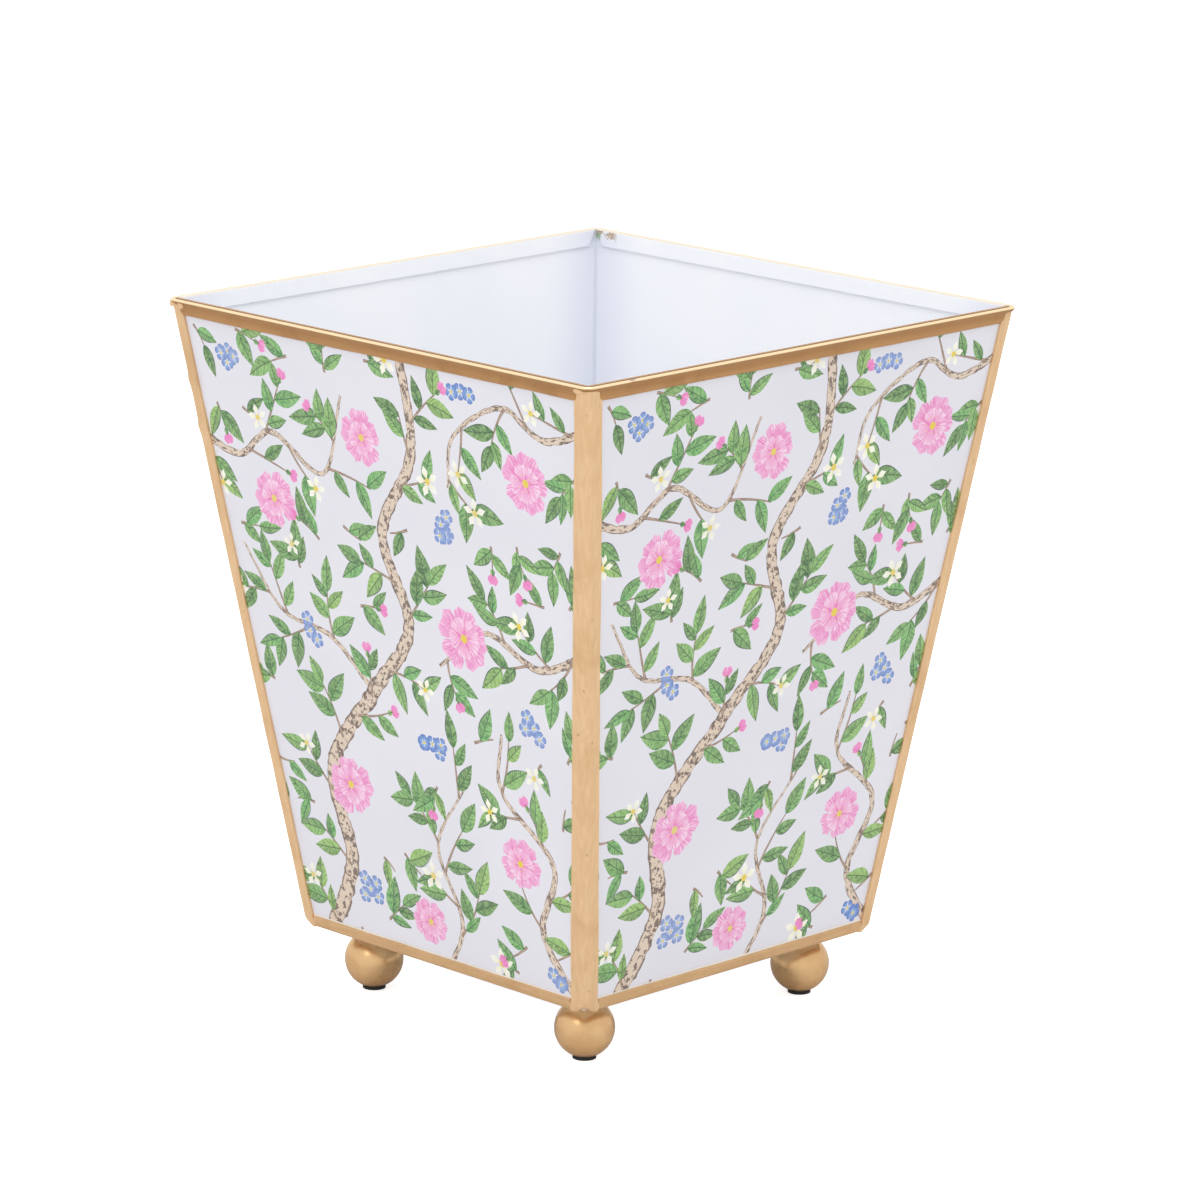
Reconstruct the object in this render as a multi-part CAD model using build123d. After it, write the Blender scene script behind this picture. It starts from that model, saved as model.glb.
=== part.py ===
from build123d import *
import math
import os

# A square cachepot that widens upwards, made as tinsmiths make one. Four printed and lacquered
# sheet walls meet edge to edge, and the top of each is folded inwards into a white hem. Gilt
# angle strips cover the four slanting corners and the four bottom edges, and gilt strips with a
# rolled top edge cover the rim. A flanged base plate closes the foot of the walls. It stands on
# four gilt balls, each drawn up to the base plate by a screw and washer from inside, with a
# black pad under it.
#
# Millimetres. The origin is on the floor, under the middle of the pot, and +Z is up. The walls
# face -Y (front), +X (right), +Y (back) and -X (left).

# Walls, measured over the gilt strips
rim_width = 151.5  # flat to flat at the top of the walls
base_width = 104.4  # flat to flat at the foot of the walls
wall_height = 164.6  # upright, from the foot of the walls to the top of the fold
sheet_thickness = 0.6
print_thickness = 0.4  # printed paper under its clear lacquer
hem_depth = 4.2  # how far the folded top comes down inside
hem_end_gap = 3.4  # from the inner corner to where the hem's lower edge ends

# Gilt strips
strip_thickness = 0.6
corner_leg = 4.8  # from the sharp corner to the edge of each leg
corner_bend = 2.5  # outer radius of the fold
tightest_bend = 0.1  # of any layer inside it
toe_rise = 1.9  # how high the knocked-in toe of a corner strip starts
toe_run = 1.7  # how far in the toe goes at the foot of the walls
rim_strip_height = 4.0
rim_bead_radius = 0.55  # of the rolled top edge
bead_clearance = 0.05  # from the rolled edge to the wall behind it and the strip ends below
base_strip_height = 3.0
base_strip_tuck = 4.0  # leg of a base strip, turned in under the base plate
base_strip_bend = 0.9

# Base plate
plate_thickness = 0.8
plate_flange = 5.0  # upstand soldered to the walls, above the plate

# Ball feet
ball_diameter = 15.3
ball_inset = 13.15  # from the wall's foot to the ball's middle, flat to flat
neck_gap = 1.6  # from the top of the ball to the foot of the walls
neck_wall = 0.75  # round the screw hole
neck_land = 0.5  # how far a screw hole's floor lies past the screw's tip
pad_thickness = 1.0
pad_margin = 0.2  # from the pad's edge to the edge of the ball's flat
pad_stand = 0.3  # how far the pad holds the ball off the floor

# Fasteners
screw_radius = 2.0
screw_grip = 7.0  # length of shank inside the ball and its neck
screw_head_radius = 3.8
screw_head_height = 2.4
screw_head_crown = 0.9  # fillet round the top of the head
screw_slot_width = 1.0
screw_slot_depth = 1.1
screw_clearance = 0.15
washer_radius = 4.5
washer_thickness = 0.8

# Worked out from the sizes above
ball_radius = ball_diameter / 2
ball_level = pad_stand + ball_radius
lift = pad_stand + ball_diameter + neck_gap  # floor to the foot of the walls
rim_level = lift + wall_height
wall_slope = (rim_width - base_width) / 2 / wall_height
wall_tilt = math.atan(wall_slope)
ball_place = base_width / 2 - ball_inset
print_face = strip_thickness  # depths below the outer face of the strips
sheet_face = print_face + print_thickness
inner_face = sheet_face + sheet_thickness
plate_underside = lift + strip_thickness
plate_top = plate_underside + plate_thickness
hole_radius = screw_radius + screw_clearance
neck_radius = hole_radius + neck_wall
flat_drop = ball_level - pad_thickness  # from the ball's middle to its flat
pad_radius = math.sqrt(ball_radius**2 - flat_drop**2) - pad_margin
bead_offset = rim_bead_radius + bead_clearance
bead_half = (
    base_width / 2
    + wall_height * wall_slope
    - print_face / math.cos(wall_tilt)
    + bead_offset * math.cos(wall_tilt)
    - rim_bead_radius * math.sin(wall_tilt)
)
bead_level = rim_level - rim_bead_radius * (math.cos(wall_tilt) + math.sin(wall_tilt))

SIDES = ("front", "right", "back", "left")
CORNERS = ("front_right", "back_right", "back_left", "front_left")


def half_width(level, depth=0.0):
    """Half the pot's width at a height above the floor, at a depth measured square to the wall."""
    return base_width / 2 + (level - lift) * wall_slope - depth / math.cos(wall_tilt)


def layer_bend(depth):
    """The outer radius of a layer's rounded corners, all of which bend round one centre."""
    return max(corner_bend - depth, tightest_bend)


def bend_reach(level, depth):
    """How far the rounded corner of a layer reaches from the middle, along the diagonal."""
    rounding = (math.sqrt(2) - 1) * layer_bend(depth)
    return half_width(level, depth) * math.sqrt(2) - rounding


def toe_plane(depth):
    """The plane that knocks in the foot of the corner at +X +Y, facing out and down."""
    upper = Vector(bend_reach(lift + toe_rise, 0), lift + toe_rise)
    lower = Vector(bend_reach(lift, 0) - toe_run, lift)
    along = (upper - lower).normalized()
    out, down = along.Y, -along.X
    diagonal = Vector(1, 1, 0) / math.sqrt(2)
    normal = diagonal * out + Vector(0, 0, down)
    origin = diagonal * upper.X + Vector(0, 0, upper.Y) - normal * depth
    return Plane(origin=origin, x_dir=(1, -1, 0), z_dir=normal)


def core(depth, low, high):
    """Everything inside the layer at a depth, between two levels, with rounded corners and toes."""
    sections = Sketch()
    for level in (low, high):
        side = 2 * half_width(level, depth)
        sections += Pos(Z=level) * RectangleRounded(side, side, layer_bend(depth))
    solid = loft(sections.faces(), ruled=True)
    for turn in range(4):
        solid = split(solid, bisect_by=Rot(Z=90 * turn) * toe_plane(depth), keep=Keep.BOTTOM)
    return solid


def shell(outer_depth, inner_depth, low, high, floor=0.0):
    """The layer between two depths, closed below by a floor of the given thickness."""
    beyond = 0.0 if floor else 1.0
    outer = core(outer_depth, low, high)
    inner = core(inner_depth, low + floor - beyond, high + 1.0)
    return outer - inner


def front_quarter():
    """The quarter of space that holds the front wall, cut off at the corner diagonals."""
    reach = rim_width
    outline = Polyline((0, 0), (reach, -reach), (-reach, -reach), close=True)
    return extrude(make_face(outline), amount=2 * rim_level)


def front_span(low, high, depth, low_margin, high_margin):
    """A block across the front wall whose ends keep their margins to the corner at both levels."""
    low_half = half_width(low, depth) - low_margin
    high_half = half_width(high, depth) - high_margin
    outline = Polyline(
        (-low_half, low), (low_half, low), (high_half, high), (-high_half, high), close=True
    )
    return extrude(Plane.XZ * make_face(outline), amount=rim_width)


def along_front(profile):
    """A strip along the front wall, from a profile drawn as distance from the middle and level."""
    section = Plane(origin=(0, 0, 0), x_dir=(0, -1, 0), z_dir=(-1, 0, 0)) * profile
    return extrude(section, amount=rim_width, both=True)


def wall_sheet():
    """The front wall's sheet, with its top folded in as a hem that is cut back at the corners."""
    wall = shell(sheet_face, inner_face, plate_underside, rim_level) & front_quarter()
    hem_low = rim_level - hem_depth
    hem_face = inner_face + sheet_thickness
    outline = Polyline(
        (half_width(rim_level, inner_face), rim_level),
        (half_width(hem_low, inner_face), hem_low),
        (half_width(hem_low, hem_face), hem_low),
        (half_width(rim_level, hem_face), rim_level),
        close=True,
    )
    section = make_face(outline)
    crest = section.vertices().sort_by(Axis.Y)[-2:].sort_by(Axis.X)[0]
    section = fillet(crest, sheet_thickness * 0.8)
    span = front_span(hem_low, rim_level, inner_face, hem_end_gap, sheet_thickness)
    return wall + (along_front(section) & span)


def print_coat():
    """The printed and lacquered skin of the front wall, which runs under the strips."""
    return shell(print_face, sheet_face, plate_underside, rim_level) & front_quarter()


def rim_bead():
    """The front wall's share of the rolled edge, bent an eighth of a turn at each corner."""
    bend = layer_bend(print_face) + bead_offset
    straight = bead_half - bend
    section = Circle(rim_bead_radius)
    bar = Pos(-straight, -bead_half, bead_level) * Rot(Y=90) * extrude(section, 2 * straight)
    start = Pos(bend) * Rot(X=90) * section
    eighth = revolve(start, Axis.Z, 45)
    right_end = Pos(straight, -straight, bead_level) * Rot(Z=-90) * eighth
    left_end = Pos(-straight, -straight, bead_level) * Rot(Z=-135) * eighth
    return bar + right_end + left_end


def corner_strip():
    """The angle strip over the front right corner, from its closed toe to under the bead."""
    top = bead_level - bead_offset
    whole = shell(0.0, print_face, lift, top, floor=strip_thickness)
    zone = Sketch()
    for level in (lift, top):
        middle = half_width(level)
        zone += Pos(middle, -middle, level) * Rectangle(2 * corner_leg, 2 * corner_leg)
    return whole & loft(zone.faces(), ruled=True)


def rim_strip():
    """The strip along the front wall's top, with its share of the rolled edge."""
    foot_level = rim_level - rim_strip_height
    outline = Polyline(
        (half_width(foot_level, print_face), foot_level),
        (half_width(foot_level), foot_level),
        (half_width(bead_level), bead_level),
        (half_width(bead_level, print_face), bead_level),
        close=True,
    )
    leg = along_front(make_face(outline))
    leg &= front_span(foot_level, rim_level, 0.0, corner_leg, corner_leg)
    return leg + rim_bead()


def base_strip():
    """The angle strip along the front wall's foot, one leg turned in under the base plate."""
    top = lift + base_strip_height
    inner = lift + strip_thickness
    tuck = half_width(lift) - base_strip_tuck
    outline = Polyline(
        (half_width(lift), lift),
        (half_width(top), top),
        (half_width(top, print_face), top),
        (half_width(inner, print_face), inner),
        (tuck, inner),
        (tuck, lift),
        close=True,
    )
    section = make_face(outline)
    heel = section.vertices().sort_by_distance((half_width(lift), lift))[0]
    section = fillet(heel, base_strip_bend)
    return along_front(section) & front_span(lift, top, 0.0, corner_leg, corner_leg)


def foot_places():
    """The four places of the feet, from the front right one round."""
    return [Rot(Z=90 * turn) * Pos(ball_place, -ball_place) for turn in range(4)]


def base_plate():
    """The plate that closes the foot of the walls, flanged upwards, with a hole for each foot."""
    flange_top = plate_top + plate_flange
    body = core(inner_face, plate_underside, flange_top)
    hollow = core(inner_face + plate_thickness, plate_top, flange_top + 1.0)
    tray = body - hollow
    for place in foot_places():
        tray -= place * Pos(Z=plate_top) * Cylinder(hole_radius, 4 * plate_thickness)
    return tray


def upright(radius, low, high):
    """A round bar about the Z axis between two levels."""
    return Pos(Z=low) * extrude(Circle(radius), amount=high - low)


def ball_foot():
    """A ball with a short neck up to the base plate, a flat below and a blind screw hole."""
    ball = Pos(Z=ball_level) * Sphere(ball_radius)
    flat = Plane.XY.offset(pad_thickness)
    ball = split(ball, bisect_by=flat, keep=Keep.TOP)
    neck = upright(neck_radius, ball_level, plate_underside)
    hole_floor = plate_underside - screw_grip - neck_land
    hole = upright(hole_radius, hole_floor, plate_underside + 1.0)
    return ball + neck - hole


def foot_pad():
    """The black pad under a ball."""
    return upright(pad_radius, 0.0, pad_thickness)


def foot_washer():
    """The washer under a foot screw's head."""
    high = plate_top + washer_thickness
    return upright(washer_radius, plate_top, high) - upright(hole_radius, plate_top, high)


def foot_screw():
    """The slotted screw that draws a ball up to the base plate from inside."""
    seat = plate_top + washer_thickness
    top = seat + screw_head_height
    head = upright(screw_head_radius, seat, top)
    crown = min(screw_head_crown, 0.9 * screw_head_height)
    head = fillet(head.edges().group_by(Axis.Z)[-1], crown)
    slot_place = Pos(Z=top - screw_slot_depth / 2)
    head -= slot_place * Box(3 * screw_head_radius, screw_slot_width, screw_slot_depth)
    return head + upright(screw_radius, plate_underside - screw_grip, seat)


def write(shape, name):
    """Writes one node. A shape of several equal pieces stays several solids."""
    export_step(shape, f"parts/{name}.step")


def main():
    os.makedirs("parts", exist_ok=True)
    sheet, coat = wall_sheet(), print_coat()
    rim, base, corner = rim_strip(), base_strip(), corner_strip()
    for turn, (side, corner_name) in enumerate(zip(SIDES, CORNERS)):
        spin = Rot(Z=90 * turn)
        write(spin * sheet, f"wall_sheet_{side}")
        write(spin * coat, f"print_coat_{side}")
        write(spin * rim, f"rim_strip_{side}")
        write(spin * base, f"base_strip_{side}")
        write(spin * corner, f"corner_strip_{corner_name}")
    write(base_plate(), "base_plate")
    ball, pad, washer, screw = ball_foot(), foot_pad(), foot_washer(), foot_screw()
    for place, corner_name in zip(foot_places(), CORNERS):
        write(place * ball, f"ball_foot_{corner_name}")
        write(place * pad, f"foot_pad_{corner_name}")
    write(Compound([place * washer for place in foot_places()]), "foot_washers")
    write(Compound([place * screw for place in foot_places()]), "foot_screws")


main()
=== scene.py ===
import math
import random

import bmesh
import bpy
import numpy as np
from mathutils import Matrix, Vector, noise
from mathutils.geometry import delaunay_2d_cdt


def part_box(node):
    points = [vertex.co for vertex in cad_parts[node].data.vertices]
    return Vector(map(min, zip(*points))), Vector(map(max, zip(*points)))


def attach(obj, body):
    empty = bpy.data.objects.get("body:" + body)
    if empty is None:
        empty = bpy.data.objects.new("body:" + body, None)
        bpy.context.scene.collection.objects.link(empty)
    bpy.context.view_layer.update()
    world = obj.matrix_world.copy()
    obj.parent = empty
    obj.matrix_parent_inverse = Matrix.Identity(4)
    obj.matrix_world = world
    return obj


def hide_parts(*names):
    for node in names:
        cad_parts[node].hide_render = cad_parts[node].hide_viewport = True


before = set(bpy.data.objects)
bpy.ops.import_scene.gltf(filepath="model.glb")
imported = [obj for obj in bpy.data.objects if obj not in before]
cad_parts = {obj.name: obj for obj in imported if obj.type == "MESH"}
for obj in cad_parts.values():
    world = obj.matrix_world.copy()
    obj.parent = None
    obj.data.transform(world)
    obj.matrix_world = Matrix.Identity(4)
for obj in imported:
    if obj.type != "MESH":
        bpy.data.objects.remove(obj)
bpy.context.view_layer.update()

# Lengths are written in millimetres and become metres where a mesh or light is made.
MM = 0.001
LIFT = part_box("corner_strip_front_right")[0].z / MM  # floor to the foot of the walls
RIM_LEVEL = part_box("wall_sheet_front")[1].z / MM
PLATE_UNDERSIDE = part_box("base_plate")[0].z / MM
WALL_HEIGHT = RIM_LEVEL - LIFT
RIM_WIDTH = 151.5  # flat to flat, over the strips
BASE_WIDTH = 104.4
SLOPE = (RIM_WIDTH - BASE_WIDTH) / 2 / WALL_HEIGHT
TILT = math.atan(SLOPE)
SLANT = WALL_HEIGHT / math.cos(TILT)  # wall height measured up the slope

STRIP_THICKNESS = 0.6
CORNER_LEG = 4.8
CORNER_BEND = 2.5
RIM_STRIP_HEIGHT = 4.0
BEAD_RADIUS = 0.6
FREE_EDGE_ROUNDING = 0.16  # how far a corner strip's free edges are pressed in
BASE_STRIP_HEIGHT = 3.0
BASE_STRIP_TUCK = 4.0
TOE_RISE = 1.9
TOE_RUN = 1.7
PRINT_THICKNESS = 0.4
PRINT_MARGIN = 2.7  # the print stops under the strips, this far from the wall's sharp corner

SIDES = ("front", "right", "back", "left")
CORNERS = ("front_right", "back_right", "back_left", "front_left")


def half_width(level, depth=0.0):
    """Half the pot's width in mm at a height above the floor, at a depth square to the wall."""
    return BASE_WIDTH / 2 + (level - LIFT) * SLOPE - depth / math.cos(TILT)


def below_rim(drop):
    """The height in metres of a place this many mm below the rim."""
    return (RIM_LEVEL - drop) * MM


def soft_noise(seed, along, scale):
    """Smooth noise along a strip, from -1 to 1."""
    return noise.noise(Vector((along / scale, seed * 7.31, seed * 3.17)))


def linear(red, green, blue):
    """An 8-bit screen colour as linear light."""
    values = []
    for channel in (red, green, blue):
        share = channel / 255
        values.append(share / 12.92 if share <= 0.04045 else ((share + 0.055) / 1.055) ** 2.4)
    return tuple(values)


# Materials


class Nodes:
    """Builds a material's nodes with short calls."""

    def __init__(self, name):
        self.material = bpy.data.materials.new(name)
        self.material.use_nodes = True
        self.tree = self.material.node_tree
        self.shader = self.tree.nodes["Principled BSDF"]
        self.place = self.add("ShaderNodeTexCoord").outputs["Object"]

    def add(self, kind, **settings):
        node = self.tree.nodes.new(kind)
        for key, value in settings.items():
            setattr(node, key, value)
        return node

    def feed(self, socket, value):
        if isinstance(value, bpy.types.NodeSocket):
            self.tree.links.new(value, socket)
        elif isinstance(value, tuple) and len(value) == 3 and socket.type == "RGBA":
            socket.default_value = (*value, 1.0)
        else:
            socket.default_value = value

    def shade(self, **values):
        for key, value in values.items():
            self.feed(self.shader.inputs[key.replace("_", " ")], value)

    def math(self, operation, first, second=0.0, third=0.0):
        node = self.add("ShaderNodeMath", operation=operation)
        for socket, value in zip(node.inputs, (first, second, third)):
            self.feed(socket, value)
        return node.outputs[0]

    def mix(self, share, first, second):
        node = self.add("ShaderNodeMix", data_type="RGBA")
        self.feed(node.inputs["Factor"], share)
        self.feed(node.inputs[6], first)
        self.feed(node.inputs[7], second)
        return node.outputs[2]

    def scaled(self, vector, scale):
        node = self.add("ShaderNodeMapping")
        self.feed(node.inputs["Vector"], vector)
        node.inputs["Scale"].default_value = scale
        return node.outputs[0]

    def along(self, axis):
        """Place along one axis, in metres."""
        split_place = self.add("ShaderNodeSeparateXYZ")
        self.feed(split_place.inputs[0], self.place)
        return split_place.outputs[axis]

    def level(self):
        """Height above the floor, in metres."""
        return self.along("Z")

    def noise(self, scale, detail=3.0, rough=0.5, vector=None, distortion=0.0):
        node = self.add("ShaderNodeTexNoise")
        self.feed(node.inputs["Vector"], vector or self.place)
        node.inputs["Scale"].default_value = scale
        node.inputs["Detail"].default_value = detail
        node.inputs["Roughness"].default_value = rough
        node.inputs["Distortion"].default_value = distortion
        return node.outputs["Fac"]

    def ramp(self, value, low, high, start=0.0, end=1.0):
        node = self.add("ShaderNodeMapRange", interpolation_type="SMOOTHSTEP")
        self.feed(node.inputs["Value"], value)
        node.inputs["From Min"].default_value = low
        node.inputs["From Max"].default_value = high
        node.inputs["To Min"].default_value = start
        node.inputs["To Max"].default_value = end
        return node.outputs[0]

    def bump(self, height, distance, strength=1.0, under=None):
        node = self.add("ShaderNodeBump")
        node.inputs["Strength"].default_value = strength
        node.inputs["Distance"].default_value = distance
        self.feed(node.inputs["Height"], height)
        if under:
            self.feed(node.inputs["Normal"], under)
        return node.outputs["Normal"]


def gilt(name, brush_scale, tone=(224, 186, 142), light=(233, 197, 153), dark=(205, 162, 114), rim=False):
    """Hand-brushed satin gilt paint on tin, its brush marks drawn out along one direction. On a rim strip it
    carries painted shade below the bead and a painted highlight along the bead's top."""
    nodes = Nodes(name)
    brush = nodes.noise(1.0, 4.0, 0.6, nodes.scaled(nodes.place, brush_scale))
    patches = nodes.noise(75.0, 3.0, 0.55, distortion=0.6)
    specks = nodes.noise(420.0, 2.0, 0.5)
    streaked = nodes.mix(nodes.ramp(brush, 0.35, 0.7), linear(*tone), linear(*light))
    worn = nodes.mix(nodes.ramp(patches, 0.48, 0.75, 0.0, 0.5), streaked, linear(*dark))
    paint = nodes.mix(nodes.ramp(specks, 0.7, 0.77, 0.0, 0.45), worn, linear(132, 92, 54))
    if rim:
        level = nodes.level()
        # Painted shade: the strip darkens upwards towards the bead.
        painted_shade_below_bead = nodes.ramp(level, below_rim(3.6), below_rim(1.5), 0.0, 0.45)
        paint = nodes.mix(painted_shade_below_bead, paint, linear(*dark))
        # Painted highlight: a bright line along the bead's top.
        painted_bead_highlight = nodes.ramp(level, below_rim(0.62), below_rim(0.42))
        paint = nodes.mix(painted_bead_highlight, paint, linear(254, 230, 188))
    nodes.shade(Base_Color=paint, Metallic=0.8)
    nodes.shade(Roughness=nodes.ramp(brush, 0.2, 0.8, 0.32, 0.44))
    lumps = nodes.bump(nodes.noise(160.0, 2.0), 0.00012, 0.5)
    nodes.shade(Normal=nodes.bump(brush, 0.00003, 0.5, lumps))
    return nodes.material


def ball_gilt():
    """Smoother gilt on the turned balls, its tone varying in soft clouds."""
    nodes = Nodes("ball_gilt")
    clouds = nodes.noise(130.0, 3.0, 0.5)
    grain = nodes.noise(900.0, 2.0, 0.6)
    tone = nodes.mix(nodes.ramp(clouds, 0.35, 0.7), linear(214, 173, 124), linear(228, 190, 139))
    nodes.shade(Base_Color=tone, Metallic=0.9)
    nodes.shade(Roughness=nodes.ramp(clouds, 0.3, 0.7, 0.25, 0.33))
    nodes.shade(Normal=nodes.bump(grain, 0.00003, 0.6, nodes.bump(clouds, 0.0002, 0.4)))
    return nodes.material


def white_enamel(name, top_tone, missed=False):
    """White paint with soft brush sags, painted shade greying it towards each inside corner with a darker
    painted line in the crease, and toned on its very top; where it missed the hem, the sheet shows."""
    nodes = Nodes(name)
    clouds = nodes.noise(26.0, 3.0, 0.5)
    sags = nodes.noise(1.0, 2.0, 0.5, nodes.scaled(nodes.place, (90.0, 90.0, 22.0)))
    coat = nodes.mix(nodes.ramp(clouds, 0.35, 0.7), linear(245, 247, 251), linear(249, 250, 253))
    level = nodes.level()
    ways = [nodes.math("ABSOLUTE", nodes.along(axis)) for axis in "XY"]
    from_corner = nodes.math("ABSOLUTE", nodes.math("SUBTRACT", *ways))
    above_plate = nodes.ramp(level, (LIFT + 6.0) * MM, (LIFT + 14.0) * MM)
    # Painted shade: a soft grey towards each inside corner, and a darker line in the crease itself.
    soft_shade, crease_shade_line = (0.0, 20.0, (224, 227, 241)), (0.2, 1.0, (196, 200, 214))
    for full_to, gone_at, tone in (soft_shade, crease_shade_line):
        fade = nodes.ramp(from_corner, full_to * MM, gone_at * MM, 0.6, 0.0)
        coat = nodes.mix(nodes.math("MULTIPLY", above_plate, fade), coat, linear(*tone))
    if missed:
        high = nodes.ramp(level, below_rim(3.4), below_rim(1.6))
        hem_inset = 2.2
        corner_x = -half_width(RIM_LEVEL, hem_inset)
        near_x = nodes.ramp(nodes.along("X"), (corner_x + 6.0) * MM, (corner_x + 9.0) * MM, 1.0, 0.0)
        blotch = nodes.ramp(nodes.noise(330.0, 2.0, 0.5), 0.47, 0.53)
        share = nodes.math("MULTIPLY", nodes.math("MULTIPLY", high, near_x), blotch)
        patch = nodes.ramp(nodes.noise(240.0, 0.0), 0.42, 0.58)
        coat = nodes.mix(share, coat, nodes.mix(patch, linear(158, 182, 148), linear(186, 160, 136)))
    on_top = nodes.ramp(level, below_rim(0.3), below_rim(0.2))
    coat = nodes.mix(on_top, coat, linear(*top_tone))
    nodes.shade(Base_Color=coat, Roughness=nodes.ramp(sags, 0.3, 0.7, 0.3, 0.42))
    grain = nodes.bump(nodes.noise(700.0, 2.0), 0.00002, 0.5)
    nodes.shade(Normal=nodes.bump(sags, 0.0002, 0.35, grain))
    return nodes.material


def pad_black():
    """Matt black rubber with fine grain."""
    nodes = Nodes("pad_black")
    grain = nodes.noise(900.0, 3.0, 0.6)
    nodes.shade(Base_Color=nodes.mix(grain, linear(22, 22, 24), linear(44, 43, 44)))
    nodes.shade(Roughness=nodes.ramp(grain, 0.3, 0.7, 0.6, 0.8), Normal=nodes.bump(grain, 0.0001, 0.5))
    return nodes.material


def zinc():
    """Zinc-plated steel with faint turning marks."""
    nodes = Nodes("zinc")
    marks = nodes.noise(1.0, 3.0, 0.6, nodes.scaled(nodes.place, (1500.0, 300.0, 900.0)))
    nodes.shade(Base_Color=nodes.mix(marks, linear(176, 180, 186), linear(214, 217, 220)), Metallic=1.0)
    nodes.shade(Roughness=nodes.ramp(marks, 0.3, 0.7, 0.25, 0.4), Normal=nodes.bump(marks, 0.00003, 0.5))
    return nodes.material


GROUND, LEAF, PETAL, BARK = 0, 1, 2, 3


def printed_lacquer():
    """The printed skin. Each motif brings its paint, and strokes that follow its own direction:
    veins and watery streaks in leaves, rays in petals, flecks and dark edges in bark.
    A thin pale line just above the base strip is a painted highlight along the lacquer's edge."""
    nodes = Nodes("printed_lacquer")
    paint = nodes.add("ShaderNodeAttribute", attribute_name="paint").outputs["Color"]
    kind = nodes.add("ShaderNodeAttribute", attribute_name="kind").outputs["Fac"]
    strokes = nodes.add("ShaderNodeAttribute", attribute_name="strokes").outputs["Vector"]
    parts = nodes.add("ShaderNodeSeparateXYZ")
    nodes.feed(parts.inputs[0], strokes)
    along, across = parts.outputs["X"], parts.outputs["Y"]
    side = nodes.math("ABSOLUTE", across)

    def is_kind(value):
        return nodes.math("COMPARE", kind, float(value), 0.3)

    def pair(first, second):
        node = nodes.add("ShaderNodeCombineXYZ")
        nodes.feed(node.inputs[0], first)
        nodes.feed(node.inputs[1], second)
        nodes.feed(node.inputs[2], nodes.math("MULTIPLY", nodes.math("SIGN", across), 3.0))
        return node.outputs[0]

    over_veins = nodes.math("SUBTRACT", along, nodes.math("MULTIPLY", side, 0.9))
    down_veins = nodes.math("ADD", nodes.math("MULTIPLY", along, 0.18), nodes.math("MULTIPLY", side, 0.25))
    leaf_streaks = nodes.noise(1.9, 3.0, 0.65, pair(over_veins, down_veins))
    vein = nodes.math("PINGPONG", over_veins, 0.9)
    vein_line = nodes.ramp(vein, 0.0, 0.16, 0.55, 0.0)
    midrib = nodes.ramp(side, 0.05, 0.22, 0.8, 0.0)
    leaf_dark = nodes.math("MAXIMUM", vein_line, midrib)
    leaf_tone = nodes.mix(nodes.ramp(leaf_streaks, 0.4, 0.66, 0.0, 0.55), paint, linear(170, 212, 140))
    leaf_tone = nodes.mix(nodes.ramp(leaf_streaks, 0.3, 0.5, 0.75, 0.0), leaf_tone, linear(36, 86, 44))
    leaf_tone = nodes.mix(leaf_dark, leaf_tone, linear(36, 78, 42))

    petal_rays = nodes.noise(2.4, 2.0, 0.6, pair(nodes.math("MULTIPLY", along, 0.15), across))
    petal_tone = nodes.mix(nodes.ramp(petal_rays, 0.38, 0.62, 0.7, 0.0), paint, linear(226, 96, 176))
    petal_tone = nodes.mix(nodes.ramp(petal_rays, 0.5, 0.72, 0.0, 0.6), petal_tone, linear(252, 238, 247))

    flecks = nodes.noise(1.5, 3.0, 0.6, pair(nodes.math("MULTIPLY", along, 0.5), across))
    bark_edge = nodes.ramp(side, 0.72, 0.95, 0.0, 0.8)
    bark_tone = nodes.mix(nodes.ramp(flecks, 0.52, 0.58, 0.0, 0.85), paint, linear(84, 64, 54))
    bark_tone = nodes.mix(bark_edge, bark_tone, linear(98, 74, 62))

    clouds = nodes.noise(30.0, 2.0, 0.5)
    tone = nodes.mix(nodes.ramp(clouds, 0.3, 0.7, 0.0, 0.25), paint, linear(214, 213, 222))
    tone = nodes.mix(is_kind(LEAF), tone, leaf_tone)
    tone = nodes.mix(is_kind(PETAL), tone, petal_tone)
    tone = nodes.mix(is_kind(BARK), tone, bark_tone)
    margin = LIFT + BASE_STRIP_HEIGHT
    # Painted highlight: a thin pale line along the lacquer's foot, just above the base strip.
    painted_edge_highlight = nodes.ramp(nodes.level(), (margin + 0.3) * MM, (margin + 0.6) * MM, 1.0, 0.0)
    tone = nodes.mix(painted_edge_highlight, tone, linear(246, 245, 238))
    nodes.shade(Base_Color=tone, Roughness=nodes.ramp(clouds, 0.3, 0.7, 0.34, 0.42))
    nodes.shade(Coat_Weight=0.35, Coat_Roughness=0.12)
    grain = nodes.bump(nodes.noise(900.0, 2.0), 0.00001, 0.4)
    nodes.shade(Normal=nodes.bump(nodes.noise(24.0, 2.0), 0.00035, 0.35, grain))
    return nodes.material


# Mesh helpers


def finish_piece(mesh, name, material, node, sharp=35.0):
    """Makes the object, gives it its material, shades it, puts it under the root body and hides the CAD node
    it stands for.
    """
    piece = bpy.data.objects.new(name, mesh)
    bpy.context.scene.collection.objects.link(piece)
    mesh.materials.append(material)
    mesh.shade_smooth()
    mesh.set_sharp_from_angle(angle=math.radians(sharp))
    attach(piece, "root")
    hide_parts(node)


def turned(point, turn):
    """A point in mm on the front wall or front right corner, carried round to another."""
    return Matrix.Rotation(math.pi / 2 * turn, 3, "Z") @ Vector(point) * MM


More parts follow.
